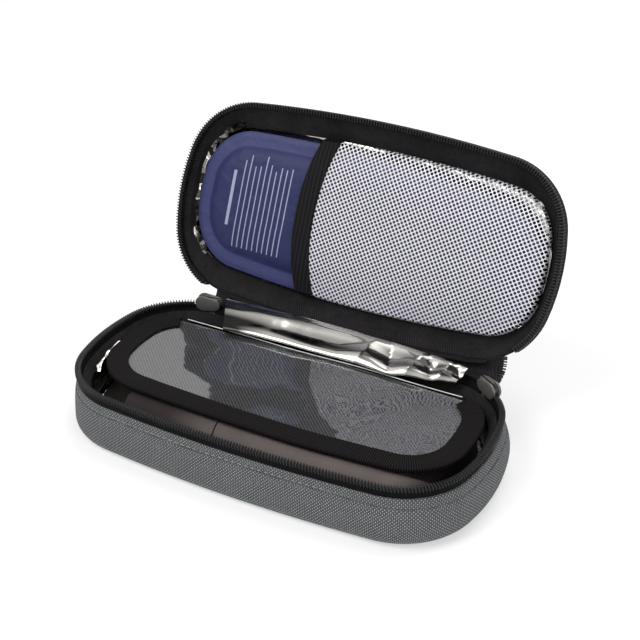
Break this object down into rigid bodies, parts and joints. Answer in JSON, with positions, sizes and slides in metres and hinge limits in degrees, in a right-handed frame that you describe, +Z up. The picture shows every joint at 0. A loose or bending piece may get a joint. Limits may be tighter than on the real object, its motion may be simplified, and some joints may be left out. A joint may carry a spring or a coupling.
{
  "type": "insulated medicine case",
  "caption": "Soft insulated travel case for insulin, zipped in two halves, with a gel pack under a net in the lid and a lined base with a flap over pen loops.",
  "frame": {"origin": "centre of the flat underside of the base", "axes": "+X along the case to the right, +Y towards the hinge, +Z up"},
  "size_m": [0.204, 0.1585, 0.125],
  "materials": {
    "grey_cloth": "coarse woven, matte",
    "black_cloth": "ribbed and herringbone tape, matte",
    "foam": "closed cell padding, matte",
    "board": "plain",
    "foil": "metallised, crinkled",
    "zip_plastic": "satin",
    "slider_metal": "satin grey",
    "velour": "short pile",
    "twill": "fine twill",
    "clear_film": "clear, glossy",
    "gel_film": "smooth, slightly glossy",
    "white_net": "open net"
  },
  "bodies": {
    "base": {"base_cover": "grey_cloth", "base_foam": "foam", "base_foil": "foil", "base_facing": "black_cloth", "base_tape": "black_cloth", "base_teeth": "zip_plastic", "base_hinge_strip": "black_cloth", "bed_board": "board", "pen_bed": "velour", "pen_strap_left": "velour", "pen_strap_right": "velour", "flap_hinge_strip": "twill", "hinge_lining": "foil", "left_slider": "slider_metal", "right_slider": "slider_metal"},
    "flap": {"flap_panel": "twill", "flap_window": "clear_film", "flap_binding": "black_cloth"},
    "lid": {"lid_cover": "grey_cloth", "lid_foam": "foam", "lid_foil": "foil", "lid_facing": "black_cloth", "lid_tape": "black_cloth", "lid_teeth": "zip_plastic", "lid_hinge_strip": "black_cloth", "mesh_net": "white_net", "mesh_band": "black_cloth"},
    "gel_pack": {"gel_pack": "gel_film"},
    "left_pull": {"left_pull": "slider_metal"},
    "right_pull": {"right_pull": "slider_metal"}
  },
  "joints": [
    {"name": "lid_hinge", "type": "hinge", "parent": "base", "child": "lid", "pos_m": [0, 0.0519, 0.0295], "axis": [-1, 0, 0], "range_deg": [-114, 66], "deforming": ["hinge_lining"]},
    {"name": "flap_hinge", "type": "hinge", "parent": "base", "child": "flap", "pos_m": [0, 0.0403, 0.0256], "axis": [-1, 0, 0], "range_deg": [0, 100]},
    {"name": "gel_pack_slide", "type": "slide", "parent": "lid", "child": "gel_pack", "axis": [1, 0, 0], "range_m": [-0.0018, 0]},
    {"name": "left_pull_swing", "type": "hinge", "parent": "base", "child": "left_pull", "pos_m": [-0.07038, 0.05196, 0.0295], "axis": [-0.9848, -0.1736, 0], "range_deg": [-90, 0]},
    {"name": "right_pull_swing", "type": "hinge", "parent": "base", "child": "right_pull", "pos_m": [0.08489, 0.04624, 0.0295], "axis": [-0.8387, 0.5446, 0], "range_deg": [-90, 0]}
  ]
}
